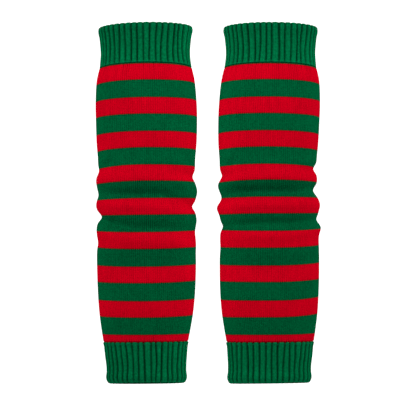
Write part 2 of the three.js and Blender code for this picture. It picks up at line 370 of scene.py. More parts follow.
# The studio, in metres.
FLOOR_LEVEL = -1.75
COVE_RADIUS = 2.4
COVE_BEND = 0.75
COVE_HEIGHT = 3.1
COVE_SIDES = 96
COVE_GLOW = 0.78
FLOOR_GLOW = 0.3
SOFTBOXES = table(
    "name x y z size power",
    ("overhead softbox", 0.0, -0.7, 1.25, 1.3, 6.0),
    ("left softbox", -1.0, -0.65, 1.25, 0.9, 14.0),
    ("right softbox", 1.0, -0.65, 1.25, 0.9, 16.0),
)
LIGHTS_AIM = (0.0, 0.0, -0.15)
GAP_LIGHT_OFFSET = 0.001
GAP_LIGHT_BACK = 0.0
GAP_LIGHT_CENTRE = -0.17
GAP_LIGHT_WIDTH = 0.1
GAP_LIGHT_HEIGHT = 0.44
GAP_LIGHT_POWER = 0.085
SKY_STRENGTH = 1.2
CAMERA_DISTANCE = 1.2
CAMERA_HEIGHT = -0.17128
CAMERA_SENSOR = 36.0
PICTURE_WIDTH = 0.4576


def along_form(column, height):
    """One column of FORM at any heights: a cubic through the table's rows."""
    places = np.array([row["height"] for row in FORM], float)
    values = np.array([row[column] for row in FORM], float)
    slopes = np.empty_like(values)
    slopes[1:-1] = (values[2:] - values[:-2]) / (places[2:] - places[:-2])
    slopes[0] = (values[1] - values[0]) / (places[1] - places[0])
    slopes[-1] = (values[-1] - values[-2]) / (places[-1] - places[-2])
    row = np.clip(np.searchsorted(places, height), 1, len(places) - 1)
    span = places[row] - places[row - 1]
    t = np.clip((height - places[row - 1]) / span, 0, 1)
    rest = 1 - t
    bend = span * t * rest * (slopes[row - 1] * rest - slopes[row] * t)
    ends = values[row - 1] * rest**2 * (1 + 2 * t) + values[row] * t**2 * (1 + 2 * rest)
    return ends + bend


def round_tube(values, angle, edge=2):
    """Values at the left, front, right and back of a tube, at any angle from the front.

    The larger edge is, the closer the side values keep to the sides.
    """
    left, front, right, back = values
    across = np.sin(angle)
    share = np.abs(across) ** edge
    sides = np.where(across > 0, right, left) * share
    return sides + np.where(np.cos(angle) > 0, front, back) * (1 - share)


def fold_reach(warmer, height, angle):
    """How far the folds stand out from the form."""
    reach = 0
    for fold in warmer["folds"]:
        off = (height - round_tube(fold["heights"], angle)) / round_tube(fold["spreads"], angle)
        reach = reach + round_tube(fold["reaches"], angle, FOLD_EDGE) * np.exp(-(off**2))
    return reach


def dent_reach(warmer, height, angle):
    """How far the small dents and puffs stand out."""
    reach = 0
    for dent in warmer["dents"]:
        turn = angle - math.radians(dent["angle"])
        around = DENT_RADIUS * (np.mod(turn + math.pi, 2 * math.pi) - math.pi)
        up = height - dent["height"]
        tilt = math.radians(dent["tilt"])
        length = (around * math.cos(tilt) + up * math.sin(tilt)) / dent["length"]
        width = (up * math.cos(tilt) - around * math.sin(tilt)) / dent["width"]
        reach = reach + dent["reach"] * np.exp(-(length**2) - width**2)
    return reach


def hoop_drift(warmer, height, angle):
    """How far the hoops stand above their even places."""
    rows = warmer["hoops"]
    heights = [row["height"] for row in rows]
    keys = ("left", "front", "right")
    left, front, right = (np.interp(height, heights, [row[key] for row in rows]) for key in keys)
    return round_tube((left, front, right, (left + right) / 2), angle)


def form_points(warmer, height, angle, reach):
    """Points on a warmer's form, moved out by reach, in metres."""
    height, angle = np.broadcast_arrays(height, angle)
    ease = warmer["ankle_ease"] * np.maximum(0, 1 - height / EASE_FADES_AT)
    half_width = along_form("half_width", height) + ease
    half_depth = half_width * along_form("depth_share", height)
    across = np.sin(angle)
    along = np.cos(angle)
    normal = np.stack([across / half_width, -along / half_depth])
    normal /= np.linalg.norm(normal, axis=0)
    lift = along_form("lift", height)
    lean = warmer["low_lean"] + (warmer["top_lean"] - warmer["low_lean"]) * height / LENGTH
    bow = warmer["bow"] * np.exp(-(((height - BOW_HEIGHT) / BOW_SPREAD) ** 2))
    middle = warmer["side"] * (along_form("from_middle", height) + bow)
    x = middle + half_width * across + normal[0] * reach
    y = along_form("back", height) - half_depth * along + normal[1] * reach
    z = height + lift * along + lean * across - GRIP_HEIGHT
    return np.stack([x, y, z], axis=-1) * MM


def even_angles(shares, depth_share):
    """Angles that part an oval's edge at these shares of it, counted from the back."""
    turns = np.linspace(-math.pi, math.pi, 1441)
    middles = (turns[1:] + turns[:-1]) / 2
    steps = np.hypot(np.cos(middles), depth_share * np.sin(middles))
    lengths = np.concatenate([[0], np.cumsum(steps)])
    whole = np.floor(shares)
    return np.interp((shares - whole) * lengths[-1], lengths, turns) + whole * 2 * math.pi


def knit_shell(name, outer, inner):
    """One closed knitted wall between an outer and an inner skin.

    A skin holds points (rows, columns, 3), u (rows, columns + 1) in wales, v (rows, columns + 1)
    in millimetres, and by rows and columns hollow, painted shade which is 1 in a groove, and fold,
    the painted shade of the folds, which is highest where they face down most steeply. An outer ring
    has a whole number of times the inner ring's points.
    """
    skins = [outer, inner]
    firsts = [0, outer["points"][..., 0].size]
    faces = []
    maps = []
    for skin, first, out in zip(skins, firsts, (True, False)):
        rows, columns = skin["points"].shape[:2]
        row, column = np.meshgrid(np.arange(rows - 1), np.arange(columns), indexing="ij")
        after = (column + 1) % columns
        quad = [(row, column, column), (row, after, column + 1)]
        quad += [(row + 1, after, column + 1), (row + 1, column, column)]
        if not out:
            quad.reverse()
        faces.append(np.stack([first + r * columns + c for r, c, _ in quad], -1).reshape(-1, 4))
        uv = [np.stack([skin["u"][r, k], skin["v"][r, k]], -1) for r, _, k in quad]
        maps.append(np.stack(uv, 2).reshape(-1, 4, 2))
    quads = np.concatenate(faces)
    quad_map = np.concatenate(maps)
    triangles = []
    triangle_map = []
    share = outer["points"].shape[1] // inner["points"].shape[1]
    for up in (False, True):
        tops = []
        for skin, first in zip(skins, firsts):
            rows, columns = skin["points"].shape[:2]
            at = rows - 1 if up else 0
            tops.append((skin, first + at * columns, at, columns))

        def corner(which, index):
            skin, start, at, columns = tops[which]
            return start + index % columns, (skin["u"][at, index], skin["v"][at, index])

        for index in range(tops[1][3]):
            fan = []
            for step in range(share):
                near = index if step < share / 2 else index + 1
                place = index * share + step
                fan.append([corner(0, place), corner(0, place + 1), corner(1, near)])
            turn = index * share + math.ceil(share / 2)
            fan.append([corner(0, turn), corner(1, index + 1), corner(1, index)])
            for corners in fan:
                if not up:
                    corners.reverse()
                triangles.append([vertex for vertex, _ in corners])
                triangle_map.append([place for _, place in corners])

    points = np.concatenate([skin["points"].reshape(-1, 3) for skin in skins])
    mesh = bpy.data.meshes.new(name)
    mesh.from_pydata(points, [], quads.tolist() + triangles)
    mesh.polygons.foreach_set("use_smooth", [True] * len(mesh.polygons))
    cloth_map = mesh.uv_layers.new(name="Cloth")
    flat = np.concatenate([quad_map.reshape(-1, 2), np.array(triangle_map).reshape(-1, 2)])
    cloth_map.uv.foreach_set("vector", flat.astype(np.float32).ravel())
    # hollow and fold carry painted shade into the material.
    hollow = np.concatenate([skin["hollow"].ravel() for skin in skins])
    fold = np.concatenate([skin["fold"].ravel() for skin in skins])
    inside = np.concatenate([np.zeros(firsts[1]), np.ones(len(points) - firsts[1])])
    for attribute, values in (("hollow", hollow), ("fold", fold), ("inside", inside)):
        layer = mesh.attributes.new(attribute, "FLOAT", "POINT")
        layer.data.foreach_set("value", values.astype(np.float32))
    mesh.update()
    shell = bpy.data.objects.new(name, mesh)
    bpy.context.collection.objects.link(shell)
    return shell


def place_piece(shell, material, node):
    """Gives a piece its knit and its body, and hides the part it stands for."""
    shell.data.materials.append(material)
    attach(shell, "root")
    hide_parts(node)


def oval_length(height):
    """The length of cloth once round the tube, in millimetres."""
    half_width = float(along_form("half_width", np.array(height)))
    half_depth = half_width * float(along_form("depth_share", np.array(height)))
    turns = np.linspace(0, 2 * math.pi, 721)
    steps = np.hypot(half_width * np.cos(turns), half_depth * np.sin(turns))[:-1]
    return float(steps.mean()) * 2 * math.pi


class Wiring:
    """Adds the nodes of one material and joins them."""

    def __init__(self, name):
        self.material = bpy.data.materials.new(name)
        self.material.use_nodes = True
        self.nodes = self.material.node_tree.nodes
        self.links = self.material.node_tree.links
        self.nodes.clear()

    def put(self, socket, value):
        if isinstance(value, bpy.types.NodeSocket):
            self.links.new(value, socket)
        elif value is not None:
            socket.default_value = value

    def add(self, kind, output=0, settings=None, **values):
        node = self.nodes.new(kind)
        for setting, value in (settings or {}).items():
            setattr(node, setting, value)
        for label, value in values.items():
            self.put(node.inputs[label.replace("_", " ")], value)
        return node.outputs[output]

    def maths(self, operation, *values):
        node = self.nodes.new("ShaderNodeMath")
        node.operation = operation
        for socket, value in zip(node.inputs, values):
            self.put(socket, value)
        return node.outputs[0]

    def blend(self, factor, low, high, kind="MIX"):
        node = self.nodes.new("ShaderNodeMix")
        node.data_type = "RGBA"
        node.blend_type = kind
        self.put(node.inputs[0], factor)
        self.put(node.inputs[6], low)
        self.put(node.inputs[7], high)
        return node.outputs[2]

    def spread(self, value, source, target):
        """Maps one range of a value to another, and keeps within it."""
        node = self.nodes.new("ShaderNodeMapRange")
        self.put(node.inputs["Value"], value)
        for label, end in zip(("From Min", "From Max", "To Min", "To Max"), (*source, *target)):
            node.inputs[label].default_value = end
        return node.outputs[0]

    def lerp(self, factor, low, high):
        node = self.nodes.new("ShaderNodeMix")
        node.data_type = "FLOAT"
        self.put(node.inputs[0], factor)
        self.put(node.inputs[2], low)
        self.put(node.inputs[3], high)
        return node.outputs[0]


def hump(wiring, phase):
    """1 at the middle of each whole step of phase and 0 at its ends."""
    part = wiring.maths("FRACT", phase)
    off = wiring.maths("SUBTRACT", wiring.maths("MULTIPLY", part, 2.0), 1.0)
    return wiring.maths("SUBTRACT", 1.0, wiring.maths("MULTIPLY", off, off))


def knit_material(name, sizes, colours, striped):
    """Fine jersey or rib knit, with V stitches outside and the purl side within."""
    w = Wiring(name)
    cloth = w.nodes.new("ShaderNodeUVMap")
    cloth.uv_map = "Cloth"
    parts = w.nodes.new("ShaderNodeSeparateXYZ")
    w.links.new(cloth.outputs[0], parts.inputs[0])
    wale, height = parts.outputs[0], parts.outputs[1]
    inside = w.add("ShaderNodeAttribute", "Fac", {"attribute_name": "inside"})
    hollow = w.add("ShaderNodeAttribute", "Fac", {"attribute_name": "hollow"})
    fold = w.add("ShaderNodeAttribute", "Fac", {"attribute_name": "fold"})
    place = w.add("ShaderNodeTexCoord", "Object")

    # The legs of each stitch rise from the middle of its wale to the edges.
    course = w.maths("DIVIDE", height, sizes.course_height / MM)
    across = w.maths("ABSOLUTE", w.maths("SUBTRACT", w.maths("FRACT", wale), 0.5))
    leg_rise = w.maths("MULTIPLY", across, 1.3)
    stitch = hump(w, w.maths("SUBTRACT", course, leg_rise))
    leg = hump(w, w.maths("MULTIPLY", wale, 2.0))
    face_side = w.maths("MULTIPLY", w.maths("POWER", stitch, 0.6), w.maths("POWER", leg, 0.5))
    sway = w.maths("MULTIPLY", w.maths("SINE", w.maths("MULTIPLY", wale, 2 * math.pi)), 0.22)
    purl_side = hump(w, w.maths("ADD", course, sway))
    knit = w.lerp(inside, face_side, purl_side)

    # Yarn: even hoops with toothed edges on the leg, green throughout on the welts.
    if striped:
        teeth = w.maths("MULTIPLY", w.maths("SUBTRACT", across, 0.25), 1.5)
        start = w.maths("SUBTRACT", w.maths("SUBTRACT", height, LOW_SEAM), teeth)
        turn = w.maths("MULTIPLY", start, math.pi * STRIPE_COUNT / (TOP_SEAM - LOW_SEAM))
        wave = w.maths("SINE", w.maths("SUBTRACT", turn, math.pi / 2))
        is_green = w.maths("GREATER_THAN", wave, GREEN_FROM)
        base = w.blend(is_green, (*colours.red, 1), (*colours.green, 1))
        fold_shade = w.lerp(is_green, *CREASE_SHADES)
        upper_shade = w.lerp(is_green, *UPPER_SHADES)
        grain = w.lerp(is_green, *GRAINS)
        furrow_shade = w.lerp(is_green, *FURROW_SHADES)
        # Painted shade darkens the hoop edges, where the stitches of one yarn sink in those of the
        # other.
        off_edge = w.maths("ABSOLUTE", w.maths("SUBTRACT", wave, GREEN_FROM))
        edge = w.spread(off_edge, (0.0, 0.16), (0.3, 1.0))
        # Red and green get darker towards the bottom of the leg.
        red_darker_low = w.spread(height, (60.0, 170.0), (0.93, 1.0))
        darker_low = w.lerp(is_green, red_darker_low, w.spread(height, (110.0, 170.0), (0.89, 1.0)))
        edge_shade_and_low_darkening = w.maths("MULTIPLY", edge, darker_low)
        # Painted shade in the lines between the wales, near the hoop edges and in the bunched knit.
        ticks = w.spread(off_edge, (0.0, 0.5), (0.3, 0.0))
        low_end = w.spread(height, (150.0, 172.0), (0.0, 1.0))
        top_end = w.spread(height, (222.0, 244.0), (1.0, 0.0))
        bunched = w.maths("MULTIPLY", low_end, top_end)
        bunched_lines = w.lerp(is_green, *BUNCHED_LINES)
        ticks = w.maths("ADD", ticks, w.maths("MULTIPLY", bunched, bunched_lines))
    else:
        base = w.blend(0.0, (*colours.rib_green, 1), (*colours.rib_green, 1))
        fold_shade, upper_shade, grain, furrow_shade, edge_shade_and_low_darkening, ticks = 0.2, 1.0, 1.2, 0.7, 1.0, 0.0

    # Yarn varies from wale to wale and along it. Painted shade darkens it in grooves and creases, and
    # in patches in the lines between the wales.
    mottle = w.add("ShaderNodeTexNoise", "Fac", Vector=place, Scale=38.0, Detail=3.0)
    clump = w.add("ShaderNodeTexNoise", "Fac", Vector=place, Scale=430.0, Detail=2.0)
    fibre = w.add("ShaderNodeTexNoise", "Fac", Vector=place, Scale=900.0, Detail=2.0)
    patch = w.add("ShaderNodeTexNoise", "Fac", Vector=place, Scale=22.0, Detail=2.0)
    strand = w.nodes.new("ShaderNodeCombineXYZ")
    w.put(strand.inputs[0], w.maths("MULTIPLY", w.maths("FLOOR", wale), 3.7))
    w.put(strand.inputs[1], w.maths("MULTIPLY", height, 0.07))
    streak = w.add("ShaderNodeTexNoise", "Fac", Vector=strand.outputs[0], Scale=1.0, Detail=1.0)
    light = 1.04
    for value, middle, amount in (
        (mottle, 0.5, 0.2),
        (clump, 0.5, grain),
        (fibre, 0.5, 0.13),
        (streak, 0.5, 0.3),
        (knit, 0.5, 0.18 if striped else 0.3),
    ):
        change = w.maths("MULTIPLY", w.maths("SUBTRACT", value, middle), amount)
        light = w.maths("ADD", light, change)
    between = w.maths("POWER", w.maths("SUBTRACT", 1.0, hump(w, wale)), 2.0)
    deep = w.maths("MULTIPLY", w.maths("MAXIMUM", fold, 0.0), 0.4)
    patches = w.spread(patch, (0.35, 0.65), (0.1, 0.5))
    between_shade = w.maths("ADD", patches, w.maths("ADD", deep, ticks))
    lines = w.maths("MULTIPLY", w.maths("MULTIPLY", between, between_shade), furrow_shade)
    lines = w.maths("MULTIPLY", lines, w.maths("SUBTRACT", 1.0, inside))
    light = w.maths("MULTIPLY", light, w.maths("MULTIPLY", w.maths("SUBTRACT", 1.0, lines), edge_shade_and_low_darkening))
    # Painted shade from hollow, and painted shade of the folds on the sides that face down and on those
    # that face up.
    shade = w.maths("SUBTRACT", 1.0, w.maths("MULTIPLY", hollow, sizes.groove_shade))
    upper = w.maths("MULTIPLY", w.maths("MULTIPLY", fold, -1.0), upper_shade)
    crease = w.maths("MULTIPLY", w.maths("MAXIMUM", fold, upper), fold_shade)
    crease = w.maths("SUBTRACT", 1.0, crease)
    light = w.maths("MULTIPLY", w.maths("MULTIPLY", light, shade), crease)
    tone = w.nodes.new("ShaderNodeCombineXYZ")
    for socket in tone.inputs:
        w.links.new(light, socket)
    colour = w.blend(1.0, base, tone.outputs[0], "MULTIPLY")

    fuzz = w.add("ShaderNodeTexNoise", "Fac", Vector=place, Scale=2600.0, Detail=2.0)
    relief = w.maths("ADD", knit, w.maths("MULTIPLY", fuzz, 0.25))
    bump = w.add("ShaderNodeBump", 0, Strength=1.0, Distance=sizes.stitch_relief, Height=relief)
    roughness = w.maths("SUBTRACT", 0.98, w.maths("MULTIPLY", knit, 0.12))
    shader = w.nodes.new("ShaderNodeBsdfPrincipled")
    w.put(shader.inputs["Base Color"], colour)
    w.put(shader.inputs["Roughness"], roughness)
    w.put(shader.inputs["Normal"], bump)
    w.put(shader.inputs["Sheen Tint"], base)
    shader.inputs["Specular IOR Level"].default_value = 0.0
    shader.inputs["Sheen Weight"].default_value = 1.0
    shader.inputs["Sheen Roughness"].default_value = 0.4
    output = w.nodes.new("ShaderNodeOutputMaterial")
    w.links.new(shader.outputs[0], output.inputs["Surface"])
    return w.material


def knit_named(name, striped):
    """The material of that name, made the first time it is asked for."""
    found = bpy.data.materials.get(name)
    scene = bpy.context.scene
    return found or knit_material(name, scene.knit_sizes, scene.knit_colours, striped)


def leg_rows(fine, coarse):
    """Heights of the leg's rows, closer in the bunched knit."""
    edges = [
        (LOW_SEAM + TUCK_HEIGHT, BUNCHED_LOW, coarse),
        (BUNCHED_LOW, BUNCHED_TOP, fine),
        (BUNCHED_TOP, TOP_SEAM - TUCK_HEIGHT, coarse),
    ]
    rows = [np.linspace(a, b, round((b - a) / step), endpoint=False) for a, b, step in edges]
    return np.concatenate(rows)


def leg_skin(warmer, rows, wales, places, sizes, is_inner):
    """A skin of the leg tube, with a furrow between each two wales outside.

    The rows hold height, inset and dark, which is painted shade. Near the seams the knit is gathered
    into short pleats.
    """
    heights, insets, darks = (np.array(column) for column in zip(*rows))
    shares = ((np.arange(wales)[:, None] + np.array(places)) / wales).ravel()
    closed = np.append(shares, 1.0)
    depth_shares = along_form("depth_share", heights)
    angle = np.stack([even_angles(shares, share) for share in depth_shares])
    height = np.repeat(heights[:, None], len(shares), axis=1)
    above, folds, below = (
        fold_reach(warmer, height + step, angle) + dent_reach(warmer, height + step, angle)
        for step in (FOLD_STEP, 0, -FOLD_STEP)
    )
    slope = (above - below) / (2 * FOLD_STEP)
    # The painted shade of the creases, from their slopes and depth, lies across the front and the
    # back, and fades out to the sides.
    facing = 1 - np.abs(np.sin(angle)) ** 3
    fold = (0.8 * slope / STEEPEST_FOLD - 0.15 * folds / DEEPEST_FOLD) * facing
    reach = folds - insets[:, None]
    # Painted shadow under the bunched knit.
    off = (heights - UNDER_FOLDS_HEIGHT) / UNDER_FOLDS_SPREAD
    shadow = UNDER_FOLDS_SHADE * np.exp(-(off**2))
    hollow = darks[:, None] + shadow[:, None] * facing
    if not is_inner:
        chance = np.random.default_rng(warmer["seed"])
        rough = chance.uniform(0.4, 1.3, (len(heights), wales))
        smooth = (rough + np.roll(rough, 1, 0) + np.roll(rough, -1, 0)) / 3
        pleat = chance.uniform(0, 1, wales) ** 3
        from_seam = np.minimum(TOP_SEAM - heights, (heights - LOW_SEAM) * 1.4)
        gather = np.exp(-np.maximum(from_seam, 0) / GATHER_FADE)
        pleated = gather[:, None] * pleat[None, :]
        after = [place > 0.5 for place in places]
        furrow, pleats = (
            np.stack([np.roll(deep, -1, 1) if late else deep for late in after], -1) * FURROW_SHAPE
            for deep in (smooth, pleated)
        )
        furrow = furrow.reshape(height.shape)
        pleats = pleats.reshape(height.shape)
        # Painted shade in the furrows between the wales and in the pleats.
        hollow = np.clip(hollow + furrow * 0.2 + pleats * 1.1, 0, 1)
        reach = reach - furrow * sizes.wale_relief / MM - pleats * PLEAT_DEPTH
    # One course higher at the end of each round, where the next round starts.
    climb = closed * sizes.course_height / MM
    drift = hoop_drift(warmer, height, angle)
    drift = np.concatenate([drift, drift[:, :1]], axis=1)
    return {
        "points": form_points(warmer, height, angle, reach),
        "u": np.repeat(closed[None, :] * wales, len(heights), axis=0),
        "v": heights[:, None] + climb[None, :] - drift,
        "hollow": hollow,
        "fold": np.clip(fold, -1, 1),
    }


def make_leg(warmer, sizes):
    """One striped leg tube, its ends tucked under the welts."""
    wall = sizes.leg_wall / MM

    def skin(fine, coarse, extra, places, is_inner):
        middle = [(height, extra, 0.0) for height in leg_rows(fine, coarse)]
        low = [(LOW_SEAM + row["run"], row["inset"], row["dark"]) for row in TUCK_ROWS]
        top = [(TOP_SEAM - row["run"], row["inset"], row["dark"]) for row in reversed(TUCK_ROWS)]
        share = INNER_TUCK if is_inner else 1
        low = [(height, inset * share + extra, dark) for height, inset, dark in low]
        top = [(height, inset * share + extra, dark) for height, inset, dark in top]
        return leg_skin(warmer, low + middle + top, sizes.wales, places, sizes, is_inner)

    outer = skin(*OUTER_LEG_STEPS, 0.0, WALE_PLACES, False)
    inner = skin(*INNER_LEG_STEPS, wall, (0,), True)
    name = f"{warmer['name']}_leg_knit"
    shell = knit_shell(name, outer, inner)
    flat = (oval_length(FLAT_HEIGHT) * MM, (TOP_SEAM - LOW_SEAM) * FOLD_TAKE_UP * MM)
    material = knit_named("striped jersey knit", True)
    node = f"{warmer['name']}_leg_tube"
    place_piece(shell, material, node)


def rib_edges(chance, count, run):
    """Where each rib's groove lies, in ribs, on each row: even, but for a little wander."""
    set_off = chance.normal(0, 0.08, count)
    slant = chance.normal(0, 0.11, count)
    sway = chance.normal(0, 0.045, count)
    phase = chance.uniform(0, 2 * math.pi, count)
    wander = set_off + slant * (run[:, None] - 0.5)
    wander = wander + sway * np.sin(phase + 2 * math.pi * run[:, None])
    edges = np.arange(count) + wander
    return np.concatenate([edges, edges[:, :1] + count], axis=1)


def rib_skin(warmer, rows, count, places, depth, seed, way):
    """A skin of a welt, ribbed as deep as depth.

    The rows hold height, inset, rib, dip and dark, which is painted shade. way is 1 on a welt above
    its seam, else -1.
    """
    heights, insets, ribs, dips, darks = (np.array(column) for column in zip(*rows))
    chance = np.random.default_rng(seed)
    run = (heights - heights.min()) / np.ptp(heights)
    edges = rib_edges(chance, count, run)
    depths = chance.normal(1, 0.14, count + 1)
    depths[-1] = depths[0]
    # Painted shade in each rib's grooves, stronger or weaker at random from rib to rib and from the low
    # to the high end.
    low_dark, high_dark = chance.uniform(GROOVE_LEAST, 1.1, (2, count + 1))
    groove_dark = low_dark + (high_dark - low_dark) * run[:, None]
    groove_dark[:, -1] = groove_dark[:, 0]
    place = np.array(places)
    width = edges[:, 1:] - edges[:, :-1]
    ribs_round = (edges[:, :-1, None] + place * width[:, :, None]).reshape(len(heights), -1)
    shares = ribs_round / count
    depth_shares = along_form("depth_share", heights)
    angle = np.stack([even_angles(row, share) for row, share in zip(shares, depth_shares)])
    groove = np.abs(2 * place - 1) ** RIB_SHARPNESS
    groove_depth = groove * (depths[:-1, None] * (1 - place) + depths[1:, None] * place)
    creases = np.exp(-(((place - 0.5) / 0.04) ** 2))
    relief = groove_depth.reshape(-1) * depth
    relief = relief + np.tile(creases, count) * CREASE_DEPTH * np.sign(depth)
    reach = -insets[:, None] - relief[None, :] * ribs[:, None]
    height = heights[:, None] - way * dips[:, None] * np.tile(groove, count)[None, :]
    # Painted shade in the grooves and in the crease along each crest, and the rows' own painted shade.
    dark = groove_dark[:, :-1, None] * (1 - place) + groove_dark[:, 1:, None] * place
    dark = (dark * groove**0.8 + creases * 0.06).reshape(len(heights), -1)
    hollow = ribs[:, None] * dark + darks[:, None]
    # Painted shade low and high on the welt, and on its left side.
    low, high = CALF_SHADES if way > 0 else ANKLE_SHADES
    hollow = hollow + (low + (high - low) * run[:, None])
    hollow = hollow + WELT_SIDE_SHADE * np.maximum(0, -np.sin(angle)) ** 3
    wale_place = np.interp(place, [0, CREST_EDGE, 1 - CREST_EDGE, 1], [-0.5, 0, 2, 2.5])
    wales = (np.arange(count)[:, None] * RIB_WALES + wale_place).reshape(-1)
    wales = np.append(wales, count * RIB_WALES - 0.5)
    return {
        "points": form_points(warmer, height, angle, reach),
        "u": np.repeat(wales[None, :], len(heights), axis=0),
        "v": np.repeat(heights[:, None], len(wales), axis=1),
        "hollow": np.clip(hollow, 0, 1),
        "fold": np.zeros_like(hollow),
    }


def welt_rows(seam, rim, seam_rows, rim_rows, step):
    """The outer rows of a welt, from its seam to its turned rim."""
    way = 1 if rim > seam else -1
    rows = []
    for row in seam_rows:
        rows.append((seam + way * row["run"], row["inset"], row["rib"], -row["dip"], row["dark"]))
    first = seam_rows[-1]["run"]
    last = abs(rim - seam) - rim_rows[0]["run"]
    count = round((last - first) / step)
    for run in np.linspace(first, last, count + 1)[1:-1]:
        rows.append((seam + way * run, 0.0, 1.0, 0.0, 0.0))
    for row in rim_rows:
        rows.append((rim - way * row["run"], row["inset"], row["rib"], row["dip"], row["dark"]))
    return rows


def make_welt(warmer, part, seam, rim, seam_rows, rim_rows, count, seed, sizes):
    """One doubled rib welt, hollow and open, its rim turned."""
    wall = sizes.welt_wall / MM
    outer_rows = welt_rows(seam, rim, seam_rows, rim_rows, WELT_STEP)
    way = 1 if rim > seam else -1
    long = abs(rim - seam)
    curl = rim_rows[-1]["inset"] - 1.5
    middle = np.linspace(3, long - 3, INNER_WELT_ROWS)
    runs = [0, 0.6, 1.6, *middle, long - 1.8, long - 0.9, long - 0.3]
    turned = [wall + curl * share for share in (0.5, 0.9, 1)]
    insets = [wall - 0.3, wall, wall, *[wall] * INNER_WELT_ROWS, *turned]
    ribs = [0, 0.1, 0.5, *[1] * INNER_WELT_ROWS, 0.9, 0.8, 0.6]
    inner_rows = [(seam + way * run, inset, rib, 0, 0) for run, inset, rib in zip(runs, insets, ribs)]
    if way < 0:
        outer_rows.reverse()
        inner_rows.reverse()
    depth = sizes.rib_depth / MM
    outer = rib_skin(warmer, outer_rows, count, RIB_PLACES, depth, seed, way)
    # Inside, the turned layer's ribs are flatter and stand between those outside.
    inner = rib_skin(warmer, inner_rows, count, RIB_PLACES[::2], INNER_RIB_DEPTH, seed, way)
    shell = knit_shell(f"{warmer['name']}_{part}_rib", outer, inner)
    flat = (oval_length((seam + rim) / 2) * MM, long * MM)
    material = knit_named("deep green rib knit", False)
    node = f"{warmer['name']}_{part}_welt"
    place_piece(shell, material, node)


class KnitSizes(bpy.types.PropertyGroup):
    """Sizes of the knit that a user may change."""

    leg_wall: bpy.props.FloatProperty(
        name="Leg Wall", description="Thickness of the leg's jersey", default=0.0018, unit="LENGTH"
    )
    welt_wall: bpy.props.FloatProperty(
        name="Welt Wall", description="Thickness of the doubled rib", default=0.0032, unit="LENGTH"
    )
    rib_depth: bpy.props.FloatProperty(
        name="Rib Depth", description="From a rib's crest to its groove", default=0.0024, unit="LENGTH"
    )
    calf_ribs: bpy.props.IntProperty(
        name="Calf Ribs", description="Ribs round a calf welt", default=42, min=8
    )
    ankle_ribs: bpy.props.IntProperty(
        name="Ankle Ribs", description="Ribs round an ankle welt", default=38, min=8
    )
    wales: bpy.props.IntProperty(
        name="Wales", description="Columns of stitches round a leg", default=132, min=24
    )
    wale_relief: bpy.props.FloatProperty(
        name="Wale Relief", description="Depth between two wales", default=0.00035, unit="LENGTH"
    )
    course_height: bpy.props.FloatProperty(
        name="Course Height", description="Height of one row of stitches", default=0.0017, unit="LENGTH"
    )
    stitch_relief: bpy.props.FloatProperty(
        name="Stitch Relief", description="Height of a stitch", default=0.0003, unit="LENGTH"
    )
    # Groove Shade is how dark the painted shade of the hollow attribute makes the yarn at its darkest.
    groove_shade: bpy.props.FloatProperty(
        name="Groove Shade", description="Darkening of the fibre in the grooves",
        default=0.84, min=0, max=0.9
    )


class KnitColours(bpy.types.PropertyGroup):
    """Colours of the two yarns."""

    green: bpy.props.FloatVectorProperty(
        name="Green Yarn", description="Colour of half the hoops",
        default=(0.0, 0.066, 0.0215), size=3, min=0, max=1, subtype="COLOR"
    )
    rib_green: bpy.props.FloatVectorProperty(
        name="Rib Green", description="Colour of the looser, brighter yarn of the welts",
        default=(0.0, 0.106, 0.035), size=3, min=0, max=1, subtype="COLOR"
    )
    red: bpy.props.FloatVectorProperty(
        name="Red Yarn", description="Colour of the other hoops",
        default=(0.392, 0.0, 0.007), size=3, min=0, max=1, subtype="COLOR"
    )


class KNIT_OT_legs(bpy.types.Operator):
    """Make the two striped leg tubes"""

    bl_idname = "knit.legs"
    bl_label = "Striped Legs"

    def execute(self, context):
        for warmer in WARMERS:
            make_leg(warmer, context.scene.knit_sizes)
        return {"FINISHED"}


class KNIT_OT_calf_welts(bpy.types.Operator):
    """Make the two ribbed welts at the calf"""

    bl_idname = "knit.calf_welts"
    bl_label = "Calf Welts"

    def execute(self, context):
        sizes = context.scene.knit_sizes
        for warmer in WARMERS:
            make_welt(
                warmer, "calf", TOP_SEAM, LENGTH, CALF_SEAM_ROWS, CALF_RIM_ROWS, sizes.calf_ribs,
                warmer["seed"] + CALF_SEED, sizes,
            )
        return {"FINISHED"}


class KNIT_OT_ankle_welts(bpy.types.Operator):
    """Make the two ribbed welts at the ankle"""

    bl_idname = "knit.ankle_welts"
    bl_label = "Ankle Welts"

    def execute(self, context):
        sizes = context.scene.knit_sizes
        for warmer in WARMERS:
            make_welt(
                warmer, "ankle", LOW_SEAM, 0.0, ANKLE_SEAM_ROWS, ANKLE_RIM_ROWS, sizes.ankle_ribs,
                warmer["seed"] + ANKLE_SEED, sizes,
            )
        return {"FINISHED"}


def cove_material():
    """The pale matt paint of the cove, which glows a little as a lit studio wall does."""
    w = Wiring("pale studio cove")
    place = w.add("ShaderNodeTexCoord", "Object")
    parts = w.nodes.new("ShaderNodeSeparateXYZ")
    w.links.new(place, parts.inputs[0])
    grain = w.add("ShaderNodeTexNoise", "Fac", Vector=place, Scale=60.0)
    rise = w.spread(parts.outputs[2], (FLOOR_LEVEL, FLOOR_LEVEL + COVE_BEND), (FLOOR_GLOW, COVE_GLOW))
    shader = w.nodes.new("ShaderNodeBsdfPrincipled")
    tone = w.maths("ADD", w.maths("MULTIPLY", grain, 0.01), 0.38)
    colour = w.nodes.new("ShaderNodeCombineXYZ")
    for socket in colour.inputs:
        w.links.new(tone, socket)
    w.put(shader.inputs["Base Color"], colour.outputs[0])
    shader.inputs["Roughness"].default_value = 0.9
    shader.inputs["Emission Color"].default_value = (1, 1, 1, 1)
    w.links.new(rise, shader.inputs["Emission Strength"])
    output = w.nodes.new("ShaderNodeOutputMaterial")
    w.links.new(shader.outputs[0], output.inputs["Surface"])
    return w.material


